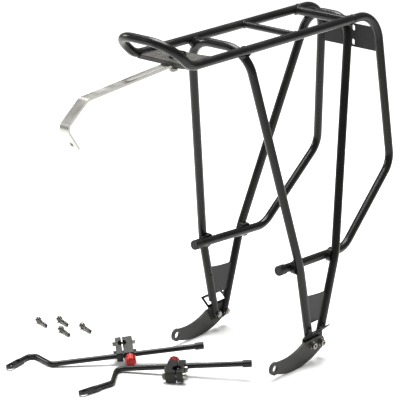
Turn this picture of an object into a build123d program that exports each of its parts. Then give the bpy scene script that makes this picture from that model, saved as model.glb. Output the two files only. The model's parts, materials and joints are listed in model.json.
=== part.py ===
"""Rear rack for a bicycle, with its loose fitting kit laid beside it.

Frame: millimetres, +X towards the front of the bicycle, +Y to its left, +Z up.
The origin is midway between the two dropout eyelets, on their common axis.
"""
from build123d import *
import math
import os

# ---- driving dimensions -------------------------------------------------
TUBE_OD = 11.8              # every main tube
TUBE_WALL = 1.5
DECK_Z = 430.0              # axis height of the two deck rails over the eyelets
RAIL_Y = 46.5               # half the distance between the rail axes
WELD_GAP = 0.4              # root gap that a weld saddle fills
WELD_R = 10.0               # reach of a weld where two tubes cross
WELD_INSET = 2.2            # from the tubes' axes to the weld's faces
HOOP_WELD_R = 8.0
ARCH_WELD_Y = 5.0           # saddles between the rear arch and its crossbar
ARCH_WELD_R = 3.6

NOSE_BEND_X = 120.0         # where the rails turn up into the nose
NOSE_X = 158.0              # foremost axis of the nose
NOSE_RISE = 34.0            # nose height over the rails
NOSE_BEND_R = 30.0
NOSE_CORNER_R = 32.0

RAIL_REAR_X = -206.0        # butt joint from the deck rail to the pannier loop
LOOP_TOP_X = -259.5         # corner where the loop turns down
LOOP_OUT = (-277.2, 64.3, 216.4)      # rear corner of the loop
LOOP_LOW = (-166.7, 71.1, 120.6)      # low corner of the loop
LOW_RAIL_END = (-24.0, 73.9, 128.6)   # front end of the low rail
LOOP_R = (42.0, 32.0, 35.0)

FRONT_TOP_X = 13.8          # axis of the front hoop's crossbar
REAR_TOP_X = -214.2         # axis of the rear hoop's arch
REAR_TOP_Z = DECK_Z - 1.3
REAR_TOP_Y = 34.2           # half spread of the rear legs at the arch
FRONT_KNEE = (-52.9, 127.0)           # x, z where a front leg meets the low rail
REAR_KNEE = (-130.8, 124.5)
KNEE_R = 120.0
REAR_ARCH_R = 30.0
LEG_FOOT_Y = 84.6           # axis of both legs at the bolts
FRONT_BOLT = (-78.0, 9.3)   # x, z of the bolt through a front leg
REAR_BOLT = (-96.5, 8.4)
LEG_TAIL = 6.0              # leg left below the bolt
LEG_FLAT_Z = 29.5           # the milled flat starts here
LEG_FLAT_Y = 83.5           # outboard face of the milled flat
LEG_SPOT_Y = 80.8           # spot face for the nut
LEG_PLUG_Z = 42.0           # solid below this height
VENT_R = 1.2
VENT_Z = (72.0, 63.0)       # vent holes, front leg and rear leg

MID_BAR_OD = 8.8
MID_BAR_X = -88.0
REAR_BAR_X = -202.0
REAR_BAR_Z = DECK_Z - 1.8

PLATE_T = 3.0               # strap plate
PLATE_FRONT_X = 116.0
PLATE_REAR_X = 69.0
PLATE_SIDE_X = 57.0
PLATE_EDGE_R = 1.5
LIP_DEPTH = 6.0
PLATE_HOLE_X = 98.0
PLATE_HOLE_Y = 25.6
PLATE_HOLE_D = 6.5
PLATE_SINK = 1.2            # countersink round each plate hole

LIGHT_T = 2.5               # light plate
LIGHT_TOP_Z = DECK_Z - 23.0
LIGHT_BOTTOM_Z = DECK_Z - 55.5
LIGHT_SLOT_Y = 6.5
LIGHT_SLOT_Z = (DECK_Z - 29.0, DECK_Z - 49.0)
LIGHT_SLOT_W = 5.5
LIGHT_SLOT_L = 8.5

GUSSET_T = 3.0
GUSSET_Y = 83.9
GUSSET_TOP = (83.0, 77.0)   # height at the front leg and at the rear leg
GUSSET_BOTTOM = 40.0
GUSSET_SAG = 1.6

HOOK_T = 1.5                # hook bracket
HOOK_X = (-105.0, -63.0)
HOOK_BEND_Z = 21.5
HOOK_ANGLE = 42.0
HOOK_REACH = 18.0
HOOK_RIM = 3.2
HOOK_CORNER_R = 1.2
HOOK_TAB = 10.0             # bracket below the bolts

ARM_T = 4.0                 # dropout arm
ARM_TIP_R = 9.0
ARM_EDGE = 9.8              # metal around the leg bolts
ARM_WAIST = (-24.0, 6.4)    # x, z on the upper edge
ARM_BELLY = (-50.0, -15.0)  # x, z on the lower edge
EYELET_D = 10.0
ARM_Y = LEG_FLAT_Y + HOOK_T

BOLT_D = 5.0                # M5 through the legs and arms
HOLE_PLAY = 0.15            # radial play of a bolt in its hole
HEAD_D = 8.5
HEAD_H = 5.0
WASHER_D = 10.0
WASHER_T = 1.0
WASHER_PLAY = 0.3           # washer hole over its bolt, across
SPOT_PLAY = 0.3             # spot face round its washer
NUT_AF = 8.0
NUT_H = 4.0
NUT_PROUD = 1.0             # thread past the nut

CAP_OD = 14.0               # black end caps
CAP_LENGTH = 12.0
CAP_FLOOR = 2.5
CAP_EDGE_R = 1.2

STRAP_W = 15.0              # mounting strap
STRAP_T = 3.0
STRAP_SLOT_W = 6.6
STRAP_SLOT_X = (80.7, 181.0)
STRAP_LINE = ((70.0, DECK_Z - 4.8), (259.0, DECK_Z - 19.9),
              (295.0, DECK_Z - 48.0), (275.0, DECK_Z - 77.0))
STRAP_BEND_R = 9.0
STRAP_PLAY = 0.1
STRAP_HOLE_W = 5.5          # slot at the strap's end
STRAP_HOLE_L = 8.0
STRAP_HOLE_AT = 8.0         # from the end to the slot's middle
GUIDE_X = (76.0, 108.0)     # block that the strap slides through
GUIDE_W = 22.0
GUIDE_CORNER_R = 2.0
GUIDE_BOTTOM = DECK_Z - 12.0
STRAP_BOLT_X = (84.0, 100.0)
STRAP_BOLT_D = 6.0
STRAP_NUT_AF = 10.0
STRAP_NUT_H = 5.0
STRAP_HEAD_D = 10.0
STRAP_HEAD_H = 3.5
STRAP_WASHER_D = 12.0

FLOOR_Z = -15.4             # just under the dropout arms
ROD_D = 7.4                 # stay rods
ROD_TIP_W = 11.0
ROD_TIP_T = 3.0
ROD_TIP_L = 34.0
ROD_SLOT_W = 5.4
ROD_SLOT_L = 9.0
ROD_BEND_R = 10.0
ROD_CAP_OD = 10.0
ROD_CAP_LENGTH = 12.0
ROD_1 = ((214.0, -199.0, 3.9), (159.5, -207.0, 3.9), (167.0, -164.0, 3.9), (17.9, -24.6, 22.8))
ROD_2 = ((209.0, -69.0, 3.9), (156.0, -60.0, 3.9), (119.0, -87.0, 3.9), (21.2, 63.0, 23.0))
CLAMP_AT = (0.480, 0.470)     # place of each clamp along its straight rod
CLAMP_TURN = (198.0, 6.0)     # turn of each clamp about its rod, which leaves it above the ground
CLAMP_FACING = (-1, 1)        # jaw towards the rod's knee, or towards its capped end

CLAMP_BODY_W = 13.5         # clamp sizes along the rod
CLAMP_JAW_W = 8.5
CLAMP_SLIT = 1.5
CLAMP_FRONT = 5.5           # block in front of the rod axis
CLAMP_LENGTH = 31.0         # block behind the rod axis
CLAMP_H = 15.0
CLAMP_BORE_AT = 17.4        # tube bore behind the rod axis
CLAMP_BOLT_AT = (8.6, 26.3)
CLAMP_BOLT_D = 5.0
CLAMP_HEAD_H = 4.0
CLAMP_EDGE = 1.5
ROD_PLAY = 0.1
KNOB_D = 15.0
KNOB_L = 11.0
KNOB_FLUTES = 10
KNOB_FLUTE_R = 1.6
KNOB_FLUTE_OUT = 0.8        # flute centres lie this far outside the rim
KNOB_EDGE = 1.2
KNOB_CORE = 6.0             # screw that stands out of the block
KNOB_GAP = 0.3
KNOB_INSET = 5.6            # knob axis from the block's end face
SCREW_D = 6.0
SCREW_PLAY = 0.08

LOOSE_D = 5.0               # loose cap screws
LOOSE_L = 20.0
LOOSE_AT = ((71.0, -285.0), (49.0, -265.0), (73.5, -237.0), (45.0, -223.5))
LOOSE_HEADING = 77.0
LOOSE_CLEAR = 0.05          # heads over the ground

TUBE_R = TUBE_OD / 2


# ---- helpers ------------------------------------------------------------
def wire(points, radii):
    """Straight runs joined by tangent arcs."""
    if not radii:
        return Polyline(*points)
    return FilletPolyline(*points, radius=list(radii))


def rod(points, radii, radius):
    """A solid bar of round section along the path."""
    path = wire(points, radii)
    section = Plane(origin=path @ 0, z_dir=path % 0) * Circle(radius)
    return sweep(section, path=path)


def bar(start, end, radius):
    """A straight round bar between two points."""
    axis = Vector(*end) - Vector(*start)
    plane = Plane(origin=start, z_dir=axis)
    return extrude(plane * Circle(radius), axis.length)


def between(start, end, share):
    return tuple(a + (b - a) * share for a, b in zip(start, end))


def mirrored(points):
    return [(x, -y, z) for x, y, z in points]


def past(start, end, extra):
    """The point beyond end, on the line from start."""
    line = Vector(*end) - Vector(*start)
    return tuple(Vector(*end) + line.normalized() * extra)


def both_sides(shape):
    return [shape, mirror(shape, Plane.XZ)]


def slot_cutter(plane, width, length, depth):
    """A slot through the plane, its length along the plane's x."""
    return extrude(plane * SlotOverall(length, width), depth / 2, both=True)


def cap_screw(plane, diameter, length, head_d, head_h):
    """Socket cap screw: under-head face on the plane, shank along -z."""
    shank = extrude(plane * Circle(diameter / 2), -length)
    head = extrude(plane * Circle(head_d / 2), head_h)
    rim = head.edges().filter_by(GeomType.CIRCLE).sort_by_distance(plane.origin + plane.z_dir * head_h * 3)[0]
    head = chamfer(rim, head_h * 0.08)
    top = plane.offset(head_h)
    socket = extrude(top * RegularPolygon(diameter * 0.46, 6), -head_h * 0.55)
    return shank + head - socket


def hex_nut(plane, across_flats, height, bore):
    nut = extrude(plane * RegularPolygon(across_flats / 2, 6, major_radius=False), height)
    return nut - extrude(plane * Circle(bore / 2), height)


def washer(plane, outer, bore, thickness):
    return extrude(plane * (Circle(outer / 2) - Circle(bore / 2)), thickness)


def cup(plane, outer, bore, length, floor):
    """Cup over a tube end: mouth on the plane, closed end along z."""
    body = extrude(plane * Circle(outer / 2), length)
    rim = body.edges().filter_by(GeomType.CIRCLE).sort_by_distance(plane.origin + plane.z_dir * length * 3)[0]
    body = fillet(rim, CAP_EDGE_R)
    return body - extrude(plane * Circle(bore / 2), length - floor)


# ---- tube paths ---------------------------------------------------------
PLATFORM = [
    (RAIL_REAR_X, RAIL_Y, DECK_Z), (NOSE_BEND_X, RAIL_Y, DECK_Z),
    (NOSE_X, RAIL_Y, DECK_Z + NOSE_RISE), (NOSE_X, -RAIL_Y, DECK_Z + NOSE_RISE),
    (NOSE_BEND_X, -RAIL_Y, DECK_Z), (RAIL_REAR_X, -RAIL_Y, DECK_Z)]
PLATFORM_R = (NOSE_BEND_R, NOSE_CORNER_R, NOSE_CORNER_R, NOSE_BEND_R)
LOOP = [(RAIL_REAR_X, RAIL_Y, DECK_Z), (LOOP_TOP_X, RAIL_Y, DECK_Z), LOOP_OUT, LOOP_LOW, LOW_RAIL_END]


def low_rail_y(x):
    """Axis of the left low rail at x."""
    share = (x - LOOP_LOW[0]) / (LOW_RAIL_END[0] - LOOP_LOW[0])
    return LOOP_LOW[1] + share * (LOW_RAIL_END[1] - LOOP_LOW[1])


def low_rail_z(x):
    share = (x - LOOP_LOW[0]) / (LOW_RAIL_END[0] - LOOP_LOW[0])
    return LOOP_LOW[2] + share * (LOW_RAIL_END[2] - LOOP_LOW[2])


def leg_points(top, knee_xz, bolt_xz, stop_z=None):
    """Left leg from the top corner to its foot, outboard of the low rail."""
    knee = (knee_xz[0], low_rail_y(knee_xz[0]) + TUBE_OD + WELD_GAP, knee_xz[1])
    bolt = (bolt_xz[0], LEG_FOOT_Y, bolt_xz[1])
    if stop_z is None:
        foot = past(knee, bolt, LEG_TAIL)
    else:
        foot = between(knee, bolt, (knee[2] - stop_z) / (knee[2] - bolt[2]))
    return [top, knee, foot]


def hoop_points(top, knee_xz, bolt_xz, stop_z=None):
    left = leg_points(top, knee_xz, bolt_xz, stop_z)
    return left[::-1] + mirrored(left)


FRONT_TOP = (FRONT_TOP_X, RAIL_Y, DECK_Z)
REAR_TOP = (REAR_TOP_X, REAR_TOP_Y, REAR_TOP_Z)
FRONT_LEAN = math.atan2(low_rail_y(FRONT_KNEE[0]) + TUBE_OD - RAIL_Y, DECK_Z - FRONT_KNEE[1])
# The front hoop's corner arc passes under the rail with the weld gap to spare.
FRONT_ARCH_R = (TUBE_OD + WELD_GAP) / (1 / math.cos((math.pi / 2 - FRONT_LEAN) / 2) - 1)


def hoop(top, knee_xz, bolt_xz, arch_r, radius, stop_z=None):
    points = hoop_points(top, knee_xz, bolt_xz, stop_z)
    return rod(points, (KNEE_R, arch_r, arch_r, KNEE_R), radius)


# ---- solid outlines used for coping ------------------------------------
BORE_R = TUBE_R - TUBE_WALL
platform_bar = rod(PLATFORM, PLATFORM_R, TUBE_R)
loop_bars = [rod(LOOP, LOOP_R, TUBE_R), rod(mirrored(LOOP), LOOP_R, TUBE_R)]
front_bar = hoop(FRONT_TOP, FRONT_KNEE, FRONT_BOLT, FRONT_ARCH_R, TUBE_R)
rear_bar = hoop(REAR_TOP, REAR_KNEE, REAR_BOLT, REAR_ARCH_R, TUBE_R)


# ---- frame parts --------------------------------------------------------
def platform_loop():
    return platform_bar - rod(PLATFORM, PLATFORM_R, BORE_R)


def pannier_loops():
    bores = [rod(LOOP, LOOP_R, BORE_R), rod(mirrored(LOOP), LOOP_R, BORE_R)]
    return [outer - bore for outer, bore in zip(loop_bars, bores)]


def foot_cuts(bolt_xz):
    """Milled flat, bolt hole and spot face at the left foot of a hoop."""
    x, z = bolt_xz
    flat = Pos(x, LEG_FLAT_Y + TUBE_R, LEG_FLAT_Z - TUBE_OD * 2) * Box(TUBE_OD * 2, TUBE_OD, TUBE_OD * 4)
    hole = bar((x, LEG_FOOT_Y - TUBE_OD, z), (x, LEG_FOOT_Y + TUBE_OD, z), BOLT_D / 2 + HOLE_PLAY)
    spot = bar((x, LEG_SPOT_Y - TUBE_R, z), (x, LEG_SPOT_Y, z), WASHER_D / 2 + SPOT_PLAY)
    return [flat, hole, spot]


def vent(knee_xz, bolt_xz, z):
    """Small vent hole in the inboard wall of a leg."""
    share = (knee_xz[1] - z) / (knee_xz[1] - bolt_xz[1])
    x = knee_xz[0] + (bolt_xz[0] - knee_xz[0]) * share
    return bar((x, LEG_FOOT_Y - TUBE_OD, z), (x, LEG_FOOT_Y, z), VENT_R)


def leg_hoop(outer, top, knee_xz, bolt_xz, arch_r, vent_z):
    bore = hoop(top, knee_xz, bolt_xz, arch_r, BORE_R, LEG_PLUG_Z)
    cuts = foot_cuts(bolt_xz) + [vent(knee_xz, bolt_xz, vent_z)]
    body = outer - bore
    for cut in cuts:
        for one in both_sides(cut):
            body -= one
    return body


def crossbar(x, z, diameter, wall):
    """Tube between the rails, coped to their outer walls."""
    outer = bar((x, -RAIL_Y, z), (x, RAIL_Y, z), diameter / 2)
    bore = bar((x, -RAIL_Y, z), (x, RAIL_Y, z), diameter / 2 - wall)
    return outer - bore - platform_bar - loop_bars[0] - loop_bars[1]


def saddle(start, end, first, second, radius, inset=0.0):
    """Weld metal in the gap and the corners where two tubes cross."""
    plug = bar(past(end, start, -inset), past(start, end, -inset), radius) - first - second
    return plug.solids().sort_by(SortBy.VOLUME)[-1]


def hoop_welds():
    """Saddles from the deck rails and the rear crossbar to the two hoops."""
    half_turn = (math.pi / 2 - FRONT_LEAN) / 2
    aim = math.pi / 2 - FRONT_LEAN - half_turn
    drop = (FRONT_TOP_X - FRONT_KNEE[0]) / (DECK_Z - FRONT_KNEE[1])
    reach = TUBE_OD + WELD_GAP
    fall = reach * math.sin(aim)
    under = (FRONT_TOP_X - drop * fall, RAIL_Y - reach * math.cos(aim), DECK_Z - fall)
    welds = both_sides(saddle((FRONT_TOP_X, RAIL_Y, DECK_Z), under, platform_bar, front_bar, HOOP_WELD_R, WELD_INSET))
    rear_tube = bar((REAR_BAR_X, -RAIL_Y, REAR_BAR_Z), (REAR_BAR_X, RAIL_Y, REAR_BAR_Z), TUBE_R)
    welds += both_sides(saddle((REAR_BAR_X, ARCH_WELD_Y, REAR_BAR_Z), (REAR_TOP_X, ARCH_WELD_Y, REAR_TOP_Z),
                               rear_tube, rear_bar, ARCH_WELD_R))
    return welds


def low_rail_welds():
    """Saddles from the low rails to the legs that pass outboard of them."""
    welds = []
    for knee, leg in ((FRONT_KNEE, front_bar), (REAR_KNEE, rear_bar)):
        y, z = low_rail_y(knee[0]), low_rail_z(knee[0])
        on_leg = (knee[0], y + TUBE_OD + WELD_GAP, z)
        welds += both_sides(saddle((knee[0], y, z), on_leg, loop_bars[0], leg, WELD_R, WELD_INSET))
    return welds


def strap_plate():
    """Plate between the rails with a turned-down front lip."""
    half = RAIL_Y
    rear = ThreePointArc((PLATE_SIDE_X, -half), (PLATE_REAR_X, 0), (PLATE_SIDE_X, half))
    rest = Polyline((PLATE_SIDE_X, half), (PLATE_FRONT_X, half), (PLATE_FRONT_X, -half), (PLATE_SIDE_X, -half))
    plate = extrude(Plane.XY.offset(DECK_Z - PLATE_T) * make_face(rear + rest), PLATE_T)
    lip = Pos(PLATE_FRONT_X - PLATE_T / 2, 0, DECK_Z - LIP_DEPTH / 2) * Box(PLATE_T, 2 * half, LIP_DEPTH)
    plate = plate + lip
    plate = fillet(plate.edges().filter_by(Axis.Y).group_by(Axis.Z)[-1].sort_by(Axis.X)[-1], PLATE_EDGE_R)
    for y in (-PLATE_HOLE_Y, PLATE_HOLE_Y):
        plate -= bar((PLATE_HOLE_X, y, DECK_Z - PLATE_T - 1), (PLATE_HOLE_X, y, DECK_Z + 1), PLATE_HOLE_D / 2)
        sink = Pos(PLATE_HOLE_X, y, DECK_Z - PLATE_SINK / 2)
        plate -= sink * Cone(PLATE_HOLE_D / 2, PLATE_HOLE_D / 2 + PLATE_SINK, PLATE_SINK)
    for x in STRAP_BOLT_X:
        plate -= bar((x, 0, DECK_Z - 20), (x, 0, DECK_Z + 20), STRAP_BOLT_D / 2 + HOLE_PLAY)
    plate -= platform_bar
    return plate.solids().sort_by(SortBy.VOLUME)[-1]


def loop_lean(z):
    """Axis x of the outer tube at height z."""
    share = (DECK_Z - z) / (DECK_Z - LOOP_OUT[2])
    return LOOP_TOP_X + share * (LOOP_OUT[0] - LOOP_TOP_X)


def light_plate():
    """Upright plate between the two outer tubes, with four slots for a lamp or reflector."""
    middle = (LIGHT_TOP_Z + LIGHT_BOTTOM_Z) / 2
    x = loop_lean(middle)
    plate = Pos(x, 0, middle) * Box(LIGHT_T, RAIL_Y * 2 + TUBE_OD, LIGHT_TOP_Z - LIGHT_BOTTOM_Z)
    for z in LIGHT_SLOT_Z:
        for y in (-LIGHT_SLOT_Y, LIGHT_SLOT_Y):
            at = Plane(origin=(x, y, z), x_dir=(0, 0, 1), z_dir=(1, 0, 0))
            plate -= slot_cutter(at, LIGHT_SLOT_W, LIGHT_SLOT_L, LIGHT_T * 4)
    plate = plate - loop_bars[0] - loop_bars[1]
    return plate.solids().sort_by(SortBy.VOLUME)[-1]


def leg_axis_x(knee_xz, bolt_xz, z):
    return knee_xz[0] + (bolt_xz[0] - knee_xz[0]) * (knee_xz[1] - z) / (knee_xz[1] - bolt_xz[1])


def gusset():
    """Left gusset plate between the lower legs, coped to both."""
    a = (leg_axis_x(FRONT_KNEE, FRONT_BOLT, GUSSET_TOP[0]), GUSSET_TOP[0])
    b = (leg_axis_x(REAR_KNEE, REAR_BOLT, GUSSET_TOP[1]), GUSSET_TOP[1])
    c = (leg_axis_x(REAR_KNEE, REAR_BOLT, GUSSET_BOTTOM), GUSSET_BOTTOM)
    d = (leg_axis_x(FRONT_KNEE, FRONT_BOLT, GUSSET_BOTTOM), GUSSET_BOTTOM)
    sag = ((a[0] + b[0]) / 2, (a[1] + b[1]) / 2 - GUSSET_SAG)
    outline = ThreePointArc(a, sag, b) + Polyline(b, c, d, a)
    plane = Plane(origin=(0, GUSSET_Y, 0), x_dir=(1, 0, 0), z_dir=(0, -1, 0))
    plate = extrude(plane * make_face(outline), GUSSET_T / 2, both=True)
    plate = plate - front_bar - rear_bar
    return plate.solids().sort_by(SortBy.VOLUME)[-1]


# ---- foot parts, left side ---------------------------------------------
def side_plane(y, x=0.0, z=0.0):
    """Plane facing outboard on the left, its x forward and y up."""
    return Plane(origin=(x, y, z), x_dir=(-1, 0, 0), z_dir=(0, 1, 0))


def upright(points):
    """Points given as x, z turned into the side plane's own x, y."""
    return [(-x, z) for x, z in points]


def through_side(xz, radius):
    """Cutter across the left foot parts, from well inside to well outside."""
    return bar((xz[0], LEG_FLAT_Y - TUBE_OD, xz[1]), (xz[0], ARM_Y + ARM_T + TUBE_OD, xz[1]), radius)


def dropout_arm():
    """Curved arm from the leg bolts to the eyelet at the origin."""
    (xf, zf), (xr, zr) = FRONT_BOLT, REAR_BOLT
    tip_top, tip_low = (0.5, ARM_TIP_R - 0.2), (-3.0, 0.3 - ARM_TIP_R)
    shoulder, top = (xf + 1.6 * ARM_EDGE, zf + ARM_EDGE * 0.85), (xr, zr + ARM_EDGE)
    heel, under = (xr - ARM_EDGE * 0.8, zr), (xr, zr - ARM_EDGE)
    outline = (ThreePointArc(*upright([tip_top, ARM_WAIST, shoulder]))
               + Polyline(*upright([shoulder, top]))
               + ThreePointArc(*upright([top, heel, under]))
               + ThreePointArc(*upright([under, ARM_BELLY, tip_low]))
               + Polyline(*upright([tip_low, (0, 0), tip_top])))
    plane = side_plane(ARM_Y)
    arm = extrude(plane * make_face(outline), ARM_T) + extrude(plane * Circle(ARM_TIP_R), ARM_T)
    arm -= through_side((0, 0), EYELET_D / 2)
    for bolt in (FRONT_BOLT, REAR_BOLT):
        arm -= through_side(bolt, BOLT_D / 2 + HOLE_PLAY)
    return arm


def hook_bracket():
    """Thin bracket between leg and arm, its rim bent outward as a bungee hook."""
    (xf, zf), (xr, zr) = FRONT_BOLT, REAR_BOLT
    outline = [(HOOK_X[1], HOOK_BEND_Z), (HOOK_X[1], HOOK_BEND_Z - HOOK_TAB / 2), (xf + HOOK_TAB / 2, zf - HOOK_TAB),
               (xr, zr - HOOK_TAB), (HOOK_X[0], zr - HOOK_TAB / 3), (HOOK_X[0], HOOK_BEND_Z)]
    base = extrude(side_plane(LEG_FLAT_Y) * make_face(Polyline(*upright(outline), close=True)), HOOK_T)
    angle = math.radians(HOOK_ANGLE)
    out = Vector(0, math.cos(angle), math.sin(angle))
    width = HOOK_X[1] - HOOK_X[0]
    middle = (HOOK_X[0] + HOOK_X[1]) / 2
    flange = Plane(origin=(middle, ARM_Y, HOOK_BEND_Z), x_dir=(-1, 0, 0), z_dir=Vector(-1, 0, 0).cross(out))
    rim = extrude(flange * Pos(0, HOOK_REACH / 2) * RectangleRounded(width, HOOK_REACH, HOOK_CORNER_R), -HOOK_T)
    window_h = HOOK_REACH - HOOK_RIM * 2
    window = extrude(flange * Pos(0, HOOK_RIM + window_h / 2)
                     * RectangleRounded(width - HOOK_RIM * 2, window_h, HOOK_CORNER_R), 4 * HOOK_T, both=True)
    root = bar((HOOK_X[0], LEG_FLAT_Y + HOOK_T / 2, HOOK_BEND_Z),
               (HOOK_X[1], LEG_FLAT_Y + HOOK_T / 2, HOOK_BEND_Z), HOOK_T / 2)
    bracket = base + root + rim - window
    for bolt in (FRONT_BOLT, REAR_BOLT):
        bracket -= through_side(bolt, BOLT_D / 2 + HOLE_PLAY)
    return bracket


def foot_fasteners():
    """Bolts, nuts and washers of the left foot."""
    bolts, nuts, washers = [], [], []
    seat = ARM_Y + ARM_T
    nut_face = LEG_SPOT_Y - WASHER_T
    length = seat + WASHER_T - nut_face + NUT_H + NUT_PROUD
    for x, z in (FRONT_BOLT, REAR_BOLT):
        bolts.append(cap_screw(side_plane(seat + WASHER_T, x, z), BOLT_D, length, HEAD_D, HEAD_H))
        washers.append(washer(side_plane(seat, x, z), WASHER_D, BOLT_D + WASHER_PLAY, WASHER_T))
        washers.append(washer(side_plane(nut_face, x, z), WASHER_D, BOLT_D + WASHER_PLAY, WASHER_T))
        nuts.append(hex_nut(side_plane(nut_face - NUT_H, x, z), NUT_AF, NUT_H, BOLT_D))
    return bolts, nuts, washers


def rail_cap():
    """Plastic cap over the front end of the left low rail."""
    end = Vector(*LOW_RAIL_END)
    along = (end - Vector(*LOOP_LOW)).normalized()
    mouth = Plane(origin=end - along * (CAP_LENGTH - CAP_FLOOR), z_dir=along)
    return cup(mouth, CAP_OD, TUBE_OD, CAP_LENGTH, CAP_FLOOR)


# ---- mounting strap -----------------------------------------------------
def strap_profile(half):
    """Side outline of the strap: its centre line thickened both ways."""
    centre = FilletPolyline(*[(x, z) for x, z in STRAP_LINE], radius=STRAP_BEND_R)
    return trace(centre, 2 * half)


def strap():
    plane = Plane(origin=(0, STRAP_W / 2, 0), x_dir=(1, 0, 0), z_dir=(0, -1, 0))
    body = extrude(plane * strap_profile(STRAP_T / 2), STRAP_W)
    (x0, z0), (x1, z1) = STRAP_LINE[0], STRAP_LINE[1]
    slope = Vector(x1 - x0, 0, z1 - z0).normalized()
    middle = sum(STRAP_SLOT_X) / 2
    at = Vector(middle, 0, z0 + (middle - x0) * slope.Z / slope.X)
    face = Plane(origin=at, x_dir=slope, z_dir=slope.cross(Vector(0, 1, 0)))
    length = STRAP_SLOT_X[1] - STRAP_SLOT_X[0] + STRAP_SLOT_W
    body -= slot_cutter(face, STRAP_SLOT_W, length, STRAP_T * 4)
    (x2, z2), (x3, z3) = STRAP_LINE[2], STRAP_LINE[3]
    end_dir = Vector(x3 - x2, 0, z3 - z2).normalized()
    hole_at = Vector(x3, 0, z3) - end_dir * STRAP_HOLE_AT
    hole = Plane(origin=hole_at, x_dir=end_dir, z_dir=end_dir.cross(Vector(0, 1, 0)))
    return body - slot_cutter(hole, STRAP_HOLE_W, STRAP_HOLE_L, STRAP_T * 4)


def strap_guide():
    """Block under the strap plate with a sloping slot that the strap slides in."""
    top = DECK_Z - PLATE_T
    length = GUIDE_X[1] - GUIDE_X[0]
    block = Pos(sum(GUIDE_X) / 2, 0, (top + GUIDE_BOTTOM) / 2) * Box(length, GUIDE_W, top - GUIDE_BOTTOM)
    block = fillet(block.edges().filter_by(Axis.Z), GUIDE_CORNER_R)
    (x0, z0), (x1, z1) = STRAP_LINE[0], STRAP_LINE[1]
    slope = Vector(x1 - x0, 0, z1 - z0).normalized()
    face = Plane(origin=((x0 + x1) / 2, 0, (z0 + z1) / 2), x_dir=slope, z_dir=slope.cross(Vector(0, 1, 0)))
    width, thick = STRAP_W + 2 * STRAP_PLAY, STRAP_T + 2 * STRAP_PLAY
    block -= extrude(face * Rectangle(x1 - x0 + 40, width), thick / 2, both=True)
    for x in STRAP_BOLT_X:
        block -= bar((x, 0, GUIDE_BOTTOM - 5), (x, 0, DECK_Z), STRAP_BOLT_D / 2 + HOLE_PLAY)
    return block


def strap_fasteners():
    bolts, nuts, washers = [], [], []
    length = DECK_Z + WASHER_T - GUIDE_BOTTOM + STRAP_NUT_H + NUT_PROUD
    for x in STRAP_BOLT_X:
        seat = Plane((x, 0, DECK_Z + WASHER_T))
        bolts.append(cap_screw(seat, STRAP_BOLT_D, length, STRAP_HEAD_D, STRAP_HEAD_H))
        washers.append(washer(Plane((x, 0, DECK_Z)), STRAP_WASHER_D, STRAP_BOLT_D + WASHER_PLAY, WASHER_T))
        nuts.append(hex_nut(Plane((x, 0, GUIDE_BOTTOM - STRAP_NUT_H)), STRAP_NUT_AF, STRAP_NUT_H, STRAP_BOLT_D))
    return bolts, nuts, washers


# ---- stay rods and clamps, loose on the ground --------------------------
def on_ground(points):
    return [(x, y, z + FLOOR_Z) for x, y, z in points]


def stay_rod(points):
    """Bent rod with a flattened, slotted tip at its first point."""
    tip, bend, knee, end = on_ground(points)
    tip_v, bend_v = Vector(*tip), Vector(*bend)
    along = (tip_v - bend_v).normalized()
    neck = tip_v - along * (ROD_TIP_L - ROD_TIP_W)
    body = rod([tuple(neck), bend, knee, end], (ROD_BEND_R, ROD_BEND_R), ROD_D / 2)
    middle = tip_v - along * (ROD_TIP_L / 2)
    face = Plane(origin=middle, x_dir=along, z_dir=(0, 0, 1))
    flat = extrude(face * SlotOverall(ROD_TIP_L, ROD_TIP_W), ROD_TIP_T / 2, both=True)
    hole = Plane(origin=tip_v - along * (ROD_TIP_W * 0.75), x_dir=along, z_dir=(0, 0, 1))
    return body + flat - slot_cutter(hole, ROD_SLOT_W, ROD_SLOT_L, ROD_D * 3)


def rod_cap(points):
    knee, end = [Vector(*p) for p in on_ground(points)[2:]]
    along = (end - knee).normalized()
    mouth = Plane(origin=end - along * (ROD_CAP_LENGTH - CAP_FLOOR), z_dir=along)
    return cup(mouth, ROD_CAP_OD, ROD_D, ROD_CAP_LENGTH, CAP_FLOOR)


def clamp_frame(points, share, turn, facing):
    """Plane on the rod axis: x along the rod and out of the jaw, y into the block."""
    knee, end = [Vector(*p) for p in on_ground(points)[2:]]
    along = (end - knee).normalized()
    level = Vector(0, 0, 1).cross(along).normalized() * -1
    into = level.rotate(Axis((0, 0, 0), tuple(along)), turn)
    out = along * facing
    return Plane(origin=knee + (end - knee) * share, x_dir=out, z_dir=out.cross(into))


def clamp_half(near, far):
    """One half of the clamp block, between two distances along the rod."""
    block = Pos((near + far) / 2, (CLAMP_LENGTH - CLAMP_FRONT) / 2, 0) * Box(
        far - near, CLAMP_LENGTH + CLAMP_FRONT, CLAMP_H)
    block = chamfer(block.edges().filter_by(Axis.X), CLAMP_EDGE)
    block -= bar((near - 1, 0, 0), (far + 1, 0, 0), ROD_D / 2 + ROD_PLAY)
    block -= bar((0, CLAMP_BORE_AT, -CLAMP_H), (0, CLAMP_BORE_AT, CLAMP_H), TUBE_R)
    for y in CLAMP_BOLT_AT:
        block -= bar((near - 1, y, 0), (far + 1, y, 0), CLAMP_BOLT_D / 2 + HOLE_PLAY)
    return block


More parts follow.
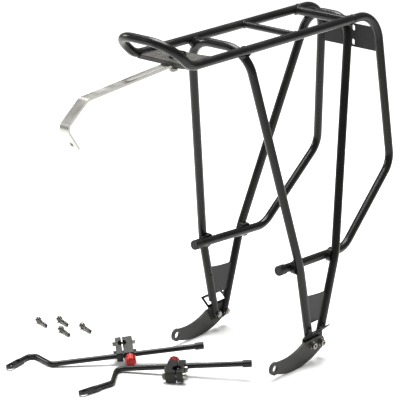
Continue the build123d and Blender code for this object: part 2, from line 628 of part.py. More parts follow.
def clamp_parts(points, share, turn, facing):
    """Body, jaw, bolts, nuts, thumb screw and knob of one clamp."""
    frame = clamp_frame(points, share, turn, facing)
    split = CLAMP_SLIT / 2
    body_far, jaw_far = -split - CLAMP_BODY_W, split + CLAMP_JAW_W
    body = clamp_half(body_far, -split)
    jaw = clamp_half(split, jaw_far)
    knob_x = body_far + KNOB_INSET
    body -= bar((knob_x, 0, 0), (knob_x, -CLAMP_FRONT - 1, 0), SCREW_D / 2 + SCREW_PLAY)
    screw = bar((knob_x, -ROD_D / 2 - ROD_PLAY, 0), (knob_x, -CLAMP_FRONT - KNOB_CORE, 0), SCREW_D / 2)
    seat = Plane(origin=(knob_x, -CLAMP_FRONT - KNOB_GAP, 0), x_dir=(1, 0, 0), z_dir=(0, -1, 0))
    knob = extrude(seat * Circle(KNOB_D / 2), KNOB_L)
    knob = chamfer(knob.edges().filter_by(GeomType.CIRCLE).sort_by(Axis.Y)[0], KNOB_EDGE)
    for turn_no in range(KNOB_FLUTES):
        a = 2 * math.pi * turn_no / KNOB_FLUTES
        at = (math.cos(a) * (KNOB_D / 2 + KNOB_FLUTE_OUT), math.sin(a) * (KNOB_D / 2 + KNOB_FLUTE_OUT))
        knob -= extrude(seat * Pos(*at) * Circle(KNOB_FLUTE_R), KNOB_L)
    knob -= bar((knob_x, 0, 0), (knob_x, -CLAMP_FRONT - KNOB_CORE, 0), SCREW_D / 2)
    bolts, nuts = [], []
    for y in CLAMP_BOLT_AT:
        under_head = Plane(origin=(jaw_far, y, 0), x_dir=(0, 1, 0), z_dir=(1, 0, 0))
        length = jaw_far - body_far + NUT_H
        bolts.append(cap_screw(under_head, CLAMP_BOLT_D, length, HEAD_D, CLAMP_HEAD_H))
        nut_at = Plane(origin=(body_far - NUT_H, y, 0), x_dir=(0, 1, 0), z_dir=(1, 0, 0))
        nuts.append(hex_nut(nut_at, NUT_AF, NUT_H, CLAMP_BOLT_D))
    place = frame.location
    return {"body": place * body, "jaw": place * jaw, "bolts": [place * b for b in bolts],
            "nuts": [place * n for n in nuts], "screw": place * screw, "knob": place * knob}


def loose_screws():
    """Cap screws lying on the ground, each on its head's rim and its tip."""
    screws = []
    tilt = math.asin((HEAD_D - LOOSE_D) / 2 / LOOSE_L)
    heading = math.radians(LOOSE_HEADING)
    for x, y in LOOSE_AT:
        shank = Vector(math.cos(heading) * math.cos(tilt), math.sin(heading) * math.cos(tilt), -math.sin(tilt))
        seat = Plane(origin=(x, y, FLOOR_Z + HEAD_D / 2 + LOOSE_CLEAR + HEAD_H * math.sin(tilt)), z_dir=shank * -1)
        screws.append(cap_screw(seat, LOOSE_D, LOOSE_L, HEAD_D, HEAD_H))
    return screws


# ---- assembly -----------------------------------------------------------
def save(name, *solids):
    shape = solids[0] if len(solids) == 1 else Compound(children=list(solids))
    export_step(shape, f"parts/{name}.step")


def main():
    os.makedirs("parts", exist_ok=True)
    save("platform_loop", platform_loop())
    for side, tube in zip(("left", "right"), pannier_loops()):
        save(f"pannier_loop_{side}", tube)
    save("front_hoop", leg_hoop(front_bar, FRONT_TOP, FRONT_KNEE, FRONT_BOLT, FRONT_ARCH_R, VENT_Z[0]))
    save("rear_hoop", leg_hoop(rear_bar, REAR_TOP, REAR_KNEE, REAR_BOLT, REAR_ARCH_R, VENT_Z[1]))
    save("middle_crossbar", crossbar(MID_BAR_X, DECK_Z, MID_BAR_OD, TUBE_WALL))
    save("rear_crossbar", crossbar(REAR_BAR_X, REAR_BAR_Z, TUBE_OD, TUBE_WALL))
    save("hoop_welds", *hoop_welds())
    save("low_rail_welds", *low_rail_welds())
    save("strap_plate", strap_plate())
    save("light_plate", light_plate())
    sided = {"gusset": gusset(), "dropout_arm": dropout_arm(), "hook_bracket": hook_bracket(),
             "rail_cap": rail_cap()}
    for name, shape in sided.items():
        for side, one in zip(("left", "right"), both_sides(shape)):
            save(f"{name}_{side}", one)
    for name, group in zip(("foot_bolts", "foot_nuts", "foot_washers"), foot_fasteners()):
        save(name, *[one for shape in group for one in both_sides(shape)])
    save("strap", strap())
    save("strap_guide", strap_guide())
    for name, group in zip(("strap_bolts", "strap_nuts", "strap_washers"), strap_fasteners()):
        save(name, *group)
    for number, points, share, turn, facing in zip((1, 2), (ROD_1, ROD_2), CLAMP_AT, CLAMP_TURN, CLAMP_FACING):
        save(f"stay_rod_{number}", stay_rod(points))
        save(f"rod_cap_{number}", rod_cap(points))
        parts = clamp_parts(points, share, turn, facing)
        save(f"clamp_body_{number}", parts["body"])
        save(f"clamp_jaw_{number}", parts["jaw"])
        save(f"clamp_bolts_{number}", *parts["bolts"])
        save(f"clamp_nuts_{number}", *parts["nuts"])
        save(f"thumb_screw_{number}", parts["screw"])
        save(f"thumb_knob_{number}", parts["knob"])
    save("loose_screws", *loose_screws())


main()
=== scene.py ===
# %% [markdown]
# # A tubular rear rack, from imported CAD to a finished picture
#
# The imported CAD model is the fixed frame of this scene. It holds every tube, plate,
# bolt and clamp in its true size and place, and it is never moved or edited.
# Blender adds what the CAD leaves out: the finishes, the weld beads and the screw
# threads. It also adds the floor, the light and the camera.
# Lengths here are metres. X runs forward, Y to the left and Z up, and the origin is
# midway between the two dropout eyelets.

import json
import math

import bpy
import numpy as np
from mathutils import Matrix, Vector


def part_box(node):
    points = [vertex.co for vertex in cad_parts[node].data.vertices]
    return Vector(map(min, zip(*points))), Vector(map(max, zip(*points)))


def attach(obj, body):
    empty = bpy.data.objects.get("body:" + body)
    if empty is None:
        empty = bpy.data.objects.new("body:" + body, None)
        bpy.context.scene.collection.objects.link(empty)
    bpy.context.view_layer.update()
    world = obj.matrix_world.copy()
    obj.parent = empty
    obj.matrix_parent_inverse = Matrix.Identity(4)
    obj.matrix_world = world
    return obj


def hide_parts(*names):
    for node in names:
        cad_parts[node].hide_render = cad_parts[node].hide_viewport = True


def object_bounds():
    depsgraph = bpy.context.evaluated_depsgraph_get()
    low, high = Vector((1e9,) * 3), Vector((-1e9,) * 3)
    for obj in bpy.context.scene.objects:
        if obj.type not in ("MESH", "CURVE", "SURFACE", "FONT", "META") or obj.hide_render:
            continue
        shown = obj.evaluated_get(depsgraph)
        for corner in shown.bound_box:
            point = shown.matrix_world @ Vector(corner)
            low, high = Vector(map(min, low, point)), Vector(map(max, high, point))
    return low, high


MM = 0.001

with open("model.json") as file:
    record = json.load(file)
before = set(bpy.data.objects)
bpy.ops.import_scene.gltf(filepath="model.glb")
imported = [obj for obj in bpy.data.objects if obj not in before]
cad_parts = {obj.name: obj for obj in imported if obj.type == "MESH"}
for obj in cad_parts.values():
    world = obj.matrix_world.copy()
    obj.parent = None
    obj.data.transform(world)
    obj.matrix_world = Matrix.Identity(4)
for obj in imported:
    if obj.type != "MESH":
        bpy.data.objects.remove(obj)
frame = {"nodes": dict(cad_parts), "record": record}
cad_box = [list(corner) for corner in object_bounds()]
nodes = frame["nodes"]
print("CAD nodes:", len(nodes), "box:", cad_box)

# %% [markdown]
# ## Small tools
#
# Colours are written the way a paint chart gives them, as sRGB hex values. Blender
# mixes light in linear values, so one function turns them.
# A material is a tree of nodes, and one function adds a node, fills in its inputs
# and links it.

# %% Colour and node helpers


def linear(hex_colour):
    """sRGB hex to linear RGBA.

    Each channel c becomes ((c + 0.055) / 1.055) to the power 2.4, or c / 12.92 near black.
    """
    channels = [int(hex_colour[i:i + 2], 16) / 255 for i in (1, 3, 5)]
    curve = [c / 12.92 if c <= 0.04045 else ((c + 0.055) / 1.055) ** 2.4 for c in channels]
    return (*curve, 1.0)


def add_node(tree, kind, inputs=None, **settings):
    """Adds one node. An input that is a socket gets a link, and any other value is set on it."""
    made = tree.nodes.new(kind)
    for name, value in settings.items():
        setattr(made, name, value)
    for key, value in (inputs or {}).items():
        if isinstance(value, bpy.types.NodeSocket):
            tree.links.new(value, made.inputs[key])
        else:
            made.inputs[key].default_value = value
    return made


print("black paint in linear light:", linear("#0c0b0b"))

# %% [markdown]
# ## Finishes
#
# Every surface here is a plain finish with small faults: powder coat has a fine
# orange peel, anodising is even but picks up rub marks, and bright steel shows
# where a tool has turned it. All of them share three layers. A slow cloud shifts the
# colour and the gloss, as handling and dust do. A fine grain gives the coat its
# texture. Long thin scratches catch the light where the part has been rubbed.
# Each pattern's size is the size of the real mark, in millimetres, read from Object
# coordinates, so that it stays on the piece when the piece moves.

# %% One recipe for all finishes


SCRATCH_MM = 1.6
RUB_FROM, RUB_TO = 0.60, 0.72        # noise value where a rub mark starts, and where it is full
PATCH_FROM, PATCH_TO = 0.42, 0.68    # the same for the patches that the marks lie in
CLOUD_LOW, CLOUD_HIGH = 0.3, 0.7     # the slow cloud's usual range
SHADE = 0.35                         # how far the cloud alone moves the colour
BUMP_STRENGTH = 0.6


def finish_of(name, base, worn, rough, metal=0.0, cloud_mm=30.0, grain_mm=1.2, grain_depth_mm=0.02,
              scratch=0.25, scratch_stretch=(0.06, 1, 1), gloss=0.5):
    """A finish with a base colour, a worn colour and a range of roughness."""
    material = bpy.data.materials.new(name)
    material.use_nodes = True
    tree = material.node_tree
    tree.nodes.clear()
    coords = add_node(tree, "ShaderNodeTexCoord").outputs["Object"]
    cloud = add_node(tree, "ShaderNodeTexNoise",
                     {"Vector": coords, "Scale": 1 / (cloud_mm * MM), "Detail": 3.0}).outputs["Fac"]
    grain = add_node(tree, "ShaderNodeTexNoise",
                     {"Vector": coords, "Scale": 1 / (grain_mm * MM), "Detail": 1.0}).outputs["Fac"]
    along = add_node(tree, "ShaderNodeMapping", {"Vector": coords, "Scale": scratch_stretch}).outputs[0]
    lines = add_node(tree, "ShaderNodeTexNoise",
                     {"Vector": along, "Scale": 1 / (SCRATCH_MM * MM), "Detail": 4.0}).outputs["Fac"]
    rubbed = add_node(tree, "ShaderNodeMapRange",
                      {"Value": lines, "From Min": RUB_FROM, "From Max": RUB_TO,
                       "To Max": scratch}).outputs[0]
    patchy = add_node(tree, "ShaderNodeMapRange",
                      {"Value": cloud, "From Min": PATCH_FROM, "From Max": PATCH_TO}).outputs[0]
    rubbed_here = add_node(tree, "ShaderNodeMath", {0: rubbed, 1: patchy},
                           operation="MULTIPLY").outputs[0]
    shade = add_node(tree, "ShaderNodeMapRange",
                     {"Value": cloud, "From Min": CLOUD_LOW, "From Max": CLOUD_HIGH,
                      "To Max": SHADE}).outputs[0]
    wear = add_node(tree, "ShaderNodeMath", {0: rubbed_here, 1: shade},
                    operation="ADD", use_clamp=True).outputs[0]
    colour = add_node(tree, "ShaderNodeMix", {"Factor": wear, "A": linear(base), "B": linear(worn)},
                      data_type="RGBA")
    roughness = add_node(tree, "ShaderNodeMapRange",
                         {"Value": cloud, "From Min": CLOUD_LOW, "From Max": CLOUD_HIGH,
                          "To Min": rough[0], "To Max": rough[1]}).outputs[0]
    bump = add_node(tree, "ShaderNodeBump",
                    {"Height": grain, "Distance": grain_depth_mm * MM, "Strength": BUMP_STRENGTH})
    shader = add_node(tree, "ShaderNodeBsdfPrincipled",
                      {"Base Color": colour.outputs["Result"], "Roughness": roughness, "Metallic": metal,
                       "Normal": bump.outputs["Normal"], "Specular IOR Level": gloss})
    add_node(tree, "ShaderNodeOutputMaterial", {"Surface": shader.outputs[0]})
    return material


# %% [markdown]
# The rack's tubes are aluminium with a satin black powder coat. It is a plastic
# skin, so it isn't metallic, and its soft gloss gives each tube one broad pale line
# along its top. The arms are plate in a lighter charcoal, and the brackets and
# clamps are blacker and duller.

# %% Painted and anodised finishes
FINISHES = {}
# Deep warm black. Its soft gloss draws one pale line along every tube.
FINISHES["satin_black_paint"] = finish_of(
    "satin_black_powder_coat", "#0c0b0b", "#1c1a18", (0.22, 0.34),
    cloud_mm=45, grain_mm=1.0, grain_depth_mm=0.03, scratch=0.35, gloss=0.3)
# Paler and duller, so that the flat arms read apart from the tubes.
FINISHES["charcoal_paint"] = finish_of(
    "charcoal_powder_coat_on_plate", "#262522", "#383631", (0.34, 0.50),
    cloud_mm=18, grain_mm=0.8, grain_depth_mm=0.03, scratch=0.4, gloss=0.35)
# Black without the tubes' gloss, so that the thin brackets stay dark.
FINISHES["bracket_black"] = finish_of(
    "black_powder_coat_on_steel", "#0f0f0e", "#262522", (0.32, 0.48),
    cloud_mm=12, grain_mm=0.8, scratch=0.4, gloss=0.3)
# As black as the tubes, with more scratches from sliding through the clamps.
FINISHES["rod_black"] = finish_of(
    "black_chromate_on_steel_rod", "#0b0b0a", "#201e1c", (0.22, 0.36),
    cloud_mm=22, grain_mm=0.9, scratch=0.5, gloss=0.3)
# An even matt black that shows each flat face of the block in its own shade.
FINISHES["clamp_black"] = finish_of(
    "bead_blasted_black_anodise", "#0f0e0d", "#201e1a", (0.36, 0.52), metal=0.1, gloss=0.3,
    cloud_mm=8, grain_mm=0.5, grain_depth_mm=0.04, scratch=0.2)
# The dullest black, with no glints, for the caps and the strap's guide.
FINISHES["black_plastic"] = finish_of(
    "moulded_black_nylon", "#0c0c0c", "#1a1a19", (0.36, 0.52), gloss=0.35,
    cloud_mm=9, grain_mm=0.6, grain_depth_mm=0.03, scratch=0.1)
# Tinted metal, red even in its highlights. It is the only colour in the picture.
FINISHES["red_anodised"] = finish_of(
    "red_anodised_aluminium", "#941b19", "#bd554f", (0.28, 0.42), metal=0.75,
    cloud_mm=6, grain_mm=0.5, grain_depth_mm=0.01, scratch=0.3)
# Black painted paler grey: a painted sheen for the overhead light on the strap plate's top, with rub marks
# as on the other finishes.
SHEEN_PAINTED_COAT = finish_of(
    "black_powder_coat_with_painted_sheen", "#292825", "#62605b", (0.30, 0.44),
    cloud_mm=20, grain_mm=0.9, grain_depth_mm=0.03, scratch=0.7)
print("painted finishes:", sorted(FINISHES))

# %% [markdown]
# Bare metal is metallic: it has almost no colour of its own beyond a warm grey, and
# shows the room instead. The strap is rolled aluminium, whose fine lines run along
# it. The screws are stainless steel and the strap's bolts are black oxide.

# %% Bare metal finishes
# Pale, with streaks along the bar. It is the brightest surface by far.
FINISHES["bare_aluminium"] = finish_of(
    "brushed_rolled_aluminium", "#b4b3ad", "#cccac4", (0.26, 0.40), metal=1.0,
    cloud_mm=25, grain_mm=0.7, grain_depth_mm=0.01, scratch=0.7, scratch_stretch=(0.03, 1, 0.4))
# A small bright glint at each foot and clamp.
FINISHES["stainless_fasteners"] = finish_of(
    "turned_stainless_steel", "#8f8d87", "#b4b2ab", (0.18, 0.30), metal=1.0,
    cloud_mm=5, grain_mm=0.5, grain_depth_mm=0.008, scratch=0.3, scratch_stretch=(1, 1, 0.2))
# Dark, with small glints, on the strap's two bolts.
FINISHES["black_fasteners"] = finish_of(
    "black_oxide_steel", "#1a1a1a", "#34322f", (0.28, 0.42), metal=0.6,
    cloud_mm=4, grain_mm=0.4, grain_depth_mm=0.01, scratch=0.3)
# Steel darkened by oil in its thread, so that the thread's ridges stand out.
OILED_STEEL = finish_of(
    "oiled_stainless_steel", "#55534f", "#8f8d87", (0.16, 0.28), metal=1.0,
    cloud_mm=5, grain_mm=0.5, grain_depth_mm=0.008, scratch=0.3)
print("bare metals: aluminium, stainless steel, black oxide, oiled steel")

# %% [markdown]
# The record says which finish each node takes. The scene follows that list, so a
# change of the record changes the picture too. The strap plate keeps its slot but
# wears a paler coat, whose lighter grey is a painted sheen for the light on its top.

# %% Give every CAD node its finish
slot_of = {part["node"]: part["material_slot"] for part in frame["record"]["subparts"]}


def wear_finish(piece, slot_name):
    """The piece shows the one finish that its slot names."""
    piece.data.materials.clear()
    piece.data.materials.append(FINISHES[slot_name])


for node_name, node in nodes.items():
    wear_finish(node, slot_of[node_name])
# The strap plate's paler coat is a painted sheen for the overhead light on its top.
nodes["strap_plate"].data.materials[0] = SHEEN_PAINTED_COAT
print("finished nodes:", len(slot_of))

# %% [markdown]
# ## Surfaces from numbers
#
# New pieces are grids of points. One direction of the grid follows a path and the
# other goes round it, and numpy works out all the points at once. The grid then
# goes into a mesh as four-sided faces.

# %% Grid to mesh


def grid_faces(rows, columns, close_rows, close_columns):
    """Quads between neighbouring rows and columns, with the last joined to the first where asked."""
    r = np.arange(rows if close_rows else rows - 1)
    c = np.arange(columns if close_columns else columns - 1)
    r, c = np.meshgrid(r, c, indexing="ij")
    r2, c2 = (r + 1) % rows, (c + 1) % columns
    corners = [r * columns + c, r2 * columns + c, r2 * columns + c2, r * columns + c2]
    return np.stack(corners, -1).reshape(-1, 4)


def mesh_of(name, points, faces, slot_name, body):
    """One smooth mesh from points and faces, in its finish, on its body."""
    mesh = bpy.data.meshes.new(name)
    mesh.from_pydata(points.tolist(), [], [tuple(f) for f in faces.tolist()])
    mesh.validate()
    mesh.shade_smooth()
    piece = bpy.data.objects.new(name, mesh)
    bpy.context.scene.collection.objects.link(piece)
    wear_finish(piece, slot_name)
    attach(piece, body)
    print(name, "faces:", len(mesh.polygons))
    return piece


def joined(parts):
    """Stacks (points, faces) pairs into one pair, each face list moved on by the points before it."""
    starts = np.cumsum([0] + [len(points) for points, _ in parts[:-1]])
    points = np.concatenate([points for points, _ in parts])
    faces = np.concatenate([faces + start for (_, faces), start in zip(parts, starts)])
    return points, faces


# %% [markdown]
# ## Weld beads
#
# A hand-welded joint has a raised bead with even ripples, one for each dip of the
# filler rod, about 1.5 mm apart. A bead is a thin tube that follows the line where
# two parts meet. Its radius swells and narrows along the way. Most of it lies
# inside the metal, and only its crown shows. The bead is painted with the tubes.

# %% A rippled bead along a path
BEAD_R = 1.3 * MM
RIPPLE = 1.5 * MM
AROUND = 10


def bead(path, radius=BEAD_R, closed=False):
    """Tube along the path.

    Its radius is r times (0.86 + 0.14 |cos(pi s / ripple)|), with s the length along the path.
    An open bead tapers to nothing at both ends.
    """
    path = np.asarray(path, float)
    steps = np.linalg.norm(np.diff(path, axis=0), axis=1)
    length = np.concatenate([[0], np.cumsum(steps)])
    fine = np.linspace(0, length[-1], max(8, int(length[-1] / (0.25 * RIPPLE))), endpoint=not closed)
    line = np.stack([np.interp(fine, length, path[:, k]) for k in range(3)], 1)
    ahead = np.roll(line, -1, 0) - np.roll(line, 1, 0) if closed else np.gradient(line, axis=0)
    ahead /= np.linalg.norm(ahead, axis=1, keepdims=True)
    aside = np.cross(ahead, np.array([0.31, 0.53, 0.79]))
    aside /= np.linalg.norm(aside, axis=1, keepdims=True)
    above = np.cross(ahead, aside)
    swell = radius * (0.86 + 0.14 * np.abs(np.cos(math.pi * fine / RIPPLE)))
    if not closed:
        taper = np.minimum(fine, length[-1] - fine) / radius
        swell *= np.sqrt(np.clip(taper, 0.02, 1.0))
    turn = np.arange(AROUND) * 2 * math.pi / AROUND
    ring = np.cos(turn)[None, :, None] * aside[:, None] + np.sin(turn)[None, :, None] * above[:, None]
    points = (line[:, None] + swell[:, None, None] * ring).reshape(-1, 3)
    faces = grid_faces(len(line), AROUND, closed, True)
    if closed:
        return points, faces
    caps = np.array([line[0], line[-1]])
    first, last = len(points), len(points) + 1
    k = np.arange(AROUND)
    start = np.stack([k, (k + 1) % AROUND, np.full(AROUND, first), np.full(AROUND, first)], 1)
    base = (len(line) - 1) * AROUND
    end = np.stack([base + (k + 1) % AROUND, base + k, np.full(AROUND, last), np.full(AROUND, last)], 1)
    return np.concatenate([points, caps]), np.concatenate([faces, start, end])


def two_sided(path):
    """The left path and its mirror on the right."""
    path = np.asarray(path, float)
    return [path, path * np.array([1, -1, 1])]


# %% [markdown]
# The crossbars meet the deck rails at a right angle. Where a round bar of radius a
# runs into a round rail of radius R, the meeting line lies on both: at the angle t
# round the bar the height is a sin t, and the rail's wall there is the square root
# of R squared less the height squared away from the rail's axis.

# %% Beads round the crossbar ends and the rail joints
bar_low, bar_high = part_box("rear_crossbar")
RAIL_R = (bar_high.x - bar_low.x) / 2
RAIL_Y = 46.5 * MM
DECK_Z = 430.0 * MM
turns = np.linspace(0, 2 * math.pi, 73)
beads = []


def end_of_bar(node_name):
    """Meeting line of a crossbar's left end with the left rail."""
    low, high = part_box(node_name)
    radius = (high.x - low.x) / 2
    x = (low.x + high.x) / 2 + radius * np.cos(turns)
    z = (low.z + high.z) / 2 + radius * np.sin(turns)
    y = RAIL_Y - np.sqrt(np.clip(RAIL_R ** 2 - (z - DECK_Z) ** 2, 0, None))
    return np.stack([x, y, z], 1)


for bar_name in ("middle_crossbar", "rear_crossbar"):
    for path in two_sided(end_of_bar(bar_name)):
        beads.append(bead(path[:-1], closed=True))

joint_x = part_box("platform_loop")[0].x
joint_ring = np.stack([np.full_like(turns, joint_x), RAIL_Y + (RAIL_R - 0.5 * MM) * np.cos(turns),
                       DECK_Z + (RAIL_R - 0.5 * MM) * np.sin(turns)], 1)
for path in two_sided(joint_ring):
    beads.append(bead(path[:-1], closed=True))
print("beads so far:", len(beads))

# %% [markdown]
# The flat plates are welded along their edges. Each of these beads is a straight
# run on the tube's wall, just where the plate's face reaches it. The strap plate has
# one on top along each rail, the lamp plate has one behind and one in front at each
# end, and each gusset has one along each leg, outside and inside.

# %% Beads along the plates


def run(start, end, count=24):
    """A straight path between two points."""
    share = np.linspace(0, 1, count)[:, None]
    return np.asarray(start) * (1 - share) + np.asarray(end) * share


PLATE_BEAD_R = 1.1 * MM
PLATE_RUNS = ((62.0, 84.0), (92.0, 112.0))    # x of each bead's two ends, in millimetres
plate_low, plate_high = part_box("strap_plate")
plate_edge_y = RAIL_Y - RAIL_R + 0.2 * MM
for x0, x1 in PLATE_RUNS:
    along_rail = run((x0 * MM, plate_edge_y, plate_high.z), (x1 * MM, plate_edge_y, plate_high.z))
    for path in two_sided(along_rail):
        beads.append(bead(path, PLATE_BEAD_R))

LAMP_INSET = 1.5 * MM
lamp_low, lamp_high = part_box("light_plate")
LOOP_OUT = np.array([-277.2, 64.3, 216.4]) * MM
LOOP_TOP = np.array([-259.5, 46.5, 430.0]) * MM
loop_slope = (LOOP_OUT - LOOP_TOP) / (LOOP_OUT[2] - LOOP_TOP[2])


def loop_point(z):
    """Axis of the left outer tube at height z."""
    return LOOP_TOP + loop_slope * (z - LOOP_TOP[2])


for face_x in (lamp_low.x, lamp_high.x):
    ends = []
    for z in (lamp_low.z + LAMP_INSET, lamp_high.z - LAMP_INSET):
        axis = loop_point(z)
        off = face_x - axis[0]
        ends.append((face_x, axis[1] - math.sqrt(RAIL_R ** 2 - off ** 2), z))
    for path in two_sided(run(*ends)):
        beads.append(bead(path, PLATE_BEAD_R))

# %% Beads along the gussets
# Each leg's axis is a line from the low rail down to the foot bolt, in millimetres. The
# third value is how far below the gusset's highest point its bead ends.
GUSSET_BEAD_R = 1.0 * MM
GUSSET_INSET = 1.0 * MM
LEGS = {"front": ((-52.9, 87.8, 127.0), (-78.0, 84.6, 9.3), 2.0),
        "rear": ((-130.8, 82.6, 124.5), (-96.5, 84.6, 8.4), 7.0)}
gusset_low, gusset_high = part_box("gusset_left")
for leg_name, (top, foot, below_top) in LEGS.items():
    top, foot = np.array(top) * MM, np.array(foot) * MM
    inward = -1 if leg_name == "front" else 1
    for face_y in (gusset_low.y, gusset_high.y):
        ends = []
        for z in (gusset_low.z + GUSSET_INSET, gusset_high.z - below_top * MM):
            axis = foot + (top - foot) * (z - foot[2]) / (top[2] - foot[2])
            off = face_y - axis[1]
            lean = math.hypot(top[0] - foot[0], top[2] - foot[2]) / (top[2] - foot[2])
            ends.append((axis[0] + inward * lean * math.sqrt(RAIL_R ** 2 - off ** 2), face_y, z))
        for path in two_sided(run(*ends)):
            beads.append(bead(path, GUSSET_BEAD_R))
mesh_of("weld_beads", *joined(beads), "satin_black_paint", "frame")

# %% [markdown]
# ## Threaded screws
#
# The four loose screws are M5 socket cap screws. A cut thread is a ridge that winds
# round the shank and rises one pitch each turn, 0.8 mm for M5. The shank is a grid
# whose radius falls and rises with the phase z / pitch less the turn, so the ridge is
# one true helix. The head is a profile turned round the axis, with a fine knurl as
# real cap screws have, and a hexagon socket.

# %% Screw shape on its own axis
PITCH = 0.8 * MM
THREAD_DEPTH = 0.42 * MM
SHANK_R = 2.5 * MM
SHANK_L = 20.0 * MM
HEAD_R = 4.25 * MM
HEAD_H = 5.0 * MM
SOCKET_R = 2.3 * MM
SOCKET_DEPTH = 2.75 * MM
TIP_CHAMFER = 0.7 * MM
KNURLS = 36
KNURL_DEPTH = 0.012      # as a share of the head's radius


def threaded_shank(around=36, per_pitch=8):
    """Rows along z from the tip to the head.

    The radius is R less the depth times a triangle wave of (z / pitch - turn), with a coned tip.
    """
    rows = int(SHANK_L / PITCH * per_pitch)
    z = np.linspace(-SHANK_L, 0, rows)[:, None]
    turn = (np.arange(around) / around)[None, :]
    phase = (z / PITCH - turn) % 1.0
    radius = SHANK_R - THREAD_DEPTH * np.abs(2 * phase - 1)
    radius = np.minimum(radius, SHANK_R - TIP_CHAMFER + (z + SHANK_L))
    points = np.stack([radius * np.cos(2 * math.pi * turn), radius * np.sin(2 * math.pi * turn),
                       z + 0 * turn], -1).reshape(-1, 3)
    faces = grid_faces(rows, around, False, True)
    tip = np.array([[0, 0, -SHANK_L]])
    k, middle = np.arange(around), np.full(around, len(points))
    cap = np.stack([(k + 1) % around, k, middle, middle], 1)
    return np.concatenate([points, tip]), np.concatenate([faces, cap])


def socket_head(around=72):
    """Rings from under the head, up its knurled side, over the edge and down into the socket.

    Each ring has a radius, a height and a shape: 0 round, 1 knurled, 2 hexagonal.
    """
    turn = np.arange(around) / around * 2 * math.pi
    knurl = 1 + KNURL_DEPTH * np.cos(turn * KNURLS)
    hexagon = math.cos(math.pi / 6) / np.cos((turn + math.pi / 6) % (math.pi / 3) - math.pi / 6)
    rings = [(0.5 * SHANK_R, 0, 0), (HEAD_R * 0.96, 0, 0),
             (HEAD_R, 0.2 * MM, 1), (HEAD_R, HEAD_H - 0.9 * MM, 1),
             (HEAD_R * 0.985, HEAD_H - 0.5 * MM, 0), (HEAD_R * 0.9, HEAD_H, 0),
             (SOCKET_R * 1.12, HEAD_H, 2),
             (SOCKET_R, HEAD_H - 0.25 * MM, 2), (SOCKET_R, HEAD_H - SOCKET_DEPTH, 2)]
    rows = [radius * (1.0, knurl, hexagon)[kind] * np.ones(around) for radius, _, kind in rings]
    points = np.stack([np.stack([row * np.cos(turn), row * np.sin(turn), np.full(around, height)], -1)
                       for row, (_, height, _) in zip(rows, rings)]).reshape(-1, 3)
    faces = grid_faces(len(rings), around, False, True)
    floor_point = np.array([[0, 0, HEAD_H - SOCKET_DEPTH - 0.5 * MM]])
    base = (len(rings) - 1) * around
    k, middle = np.arange(around), np.full(around, len(points))
    cap = np.stack([base + k, base + (k + 1) % around, middle, middle], 1)
    return np.concatenate([points, floor_point]), np.concatenate([faces, cap])


screw_points, screw_faces = joined([threaded_shank(), socket_head()])
print("one screw:", len(screw_faces), "faces")

# %% [markdown]
# Each screw lies on the rim of its head and on its tip, so its axis dips by the
# angle whose sine is the step from head to shank over the shank's length. All four
# point the same way.

# %% Lay the four screws
# The places are those of the seats under the heads, in millimetres, as the CAD has them.
SCREW_PLACES = ((71.0, -285.0), (49.0, -265.0), (73.5, -237.0), (45.0, -223.5))
FLOOR_Z = -15.4 * MM
HEADING = math.radians(77.0)
LIFT = 0.05 * MM         # keeps the head's rim just off the ground
SPIN = 0.7               # each screw is rolled this much further than the last, in radians
dip = math.asin((HEAD_R - SHANK_R) / SHANK_L)
shank_way = np.array([math.cos(HEADING) * math.cos(dip), math.sin(HEADING) * math.cos(dip), -math.sin(dip)])
side_way = np.array([-math.sin(HEADING), math.cos(HEADING), 0.0])
up_way = np.cross(shank_way, side_way)
turned = np.stack([side_way, -up_way, -shank_way])
laid = []
for number, (x, y) in enumerate(SCREW_PLACES):
    c, s = math.cos(SPIN * number), math.sin(SPIN * number)
    about = np.array([[c, s, 0], [-s, c, 0], [0, 0, 1]])
    seat = np.array([x * MM, y * MM, FLOOR_Z + HEAD_R + LIFT + HEAD_H * math.sin(dip)])
    laid.append((screw_points @ about @ turned + seat, screw_faces))
screws = mesh_of("loose_screws_threaded", *joined(laid), "stainless_fasteners", "screws")
screws.data.materials[0] = OILED_STEEL
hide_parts("loose_screws")

# %% [markdown]
# ## Floor, light and camera
#
# The rack stands on a plain pale floor that runs on without an edge. Two large soft
# lights do the work: one overhead, which draws the pale line along every tube, and
# one from the side, which lifts the dark faces. A pale world fills the shadows.

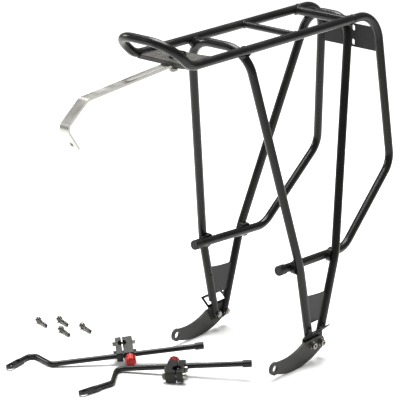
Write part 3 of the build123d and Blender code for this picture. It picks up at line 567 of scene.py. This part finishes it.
# %% Floor
floor_mesh = bpy.data.meshes.new("floor")
REACH = 12.0             # metres each way, far past the picture's edge
FLOOR_DROP = 0.2 * MM
floor_z = cad_box[0][2] - FLOOR_DROP
floor_mesh.from_pydata([(-REACH, -REACH, floor_z), (REACH, -REACH, floor_z), (REACH, REACH, floor_z),
                        (-REACH, REACH, floor_z)], [], [(0, 1, 2, 3)])
floor = bpy.data.objects.new("floor", floor_mesh)
bpy.context.scene.collection.objects.link(floor)
paper = bpy.data.materials.new("matt_white_paper")
paper.use_nodes = True
paper.node_tree.nodes["Principled BSDF"].inputs["Base Color"].default_value = linear("#f7f7f6")
paper.node_tree.nodes["Principled BSDF"].inputs["Roughness"].default_value = 0.9
paper.node_tree.nodes["Principled BSDF"].inputs["Specular IOR Level"].default_value = 0.1
floor_mesh.materials.append(paper)

# %% Light
world = bpy.data.worlds.new("pale_room")
bpy.context.scene.world = world
world.use_nodes = True
world.node_tree.nodes["Background"].inputs["Color"].default_value = linear("#ffffff")
world.node_tree.nodes["Background"].inputs["Strength"].default_value = 0.33


def softbox(name, place, aim, size, watts):
    """A square area light at a place, facing a point."""
    lamp = bpy.data.lights.new(name, "AREA")
    lamp.shape, lamp.size, lamp.energy = "SQUARE", size, watts
    lit = bpy.data.objects.new(name, lamp)
    bpy.context.scene.collection.objects.link(lit)
    away = Vector(aim) - Vector(place)
    lit.matrix_world = Matrix.Translation(place) @ away.to_track_quat("-Z", "Y").to_matrix().to_4x4()
    return lit


softbox("overhead", (-0.3, -0.3, 2.2), (0, 0, 0.1), 1.5, 110)
softbox("from_the_side", (0.9, -2.4, 1.2), (0, 0, 0.2), 0.7, 30)

# %% [markdown]
# The camera stands ahead of the rack and to its left, 19 degrees above the floor,
# with a long lens, so the two sides look nearly parallel.

# %% Camera
camera_data = bpy.data.cameras.new("camera")
camera_data.sensor_width = 36.0
camera_data.lens = 180.0
camera_data.clip_start, camera_data.clip_end = 0.1, 50.0
camera = bpy.data.objects.new("camera", camera_data)
bpy.context.scene.collection.objects.link(camera)
# The camera's own axes: to its right, up, and backwards away from the rack.
CAMERA_AXES = ((-0.6620, 0.7495, 0.0), (-0.2443, -0.2157, 0.9455), (0.7087, 0.6258, 0.3259))
CAMERA_PLACE = (1.8858, 1.6214, 1.0736)
stand = Matrix(CAMERA_AXES).transposed().to_4x4()
camera.matrix_world = Matrix.Translation(CAMERA_PLACE) @ stand
bpy.context.scene.camera = camera
bpy.context.scene.view_settings.view_transform = "Standard"
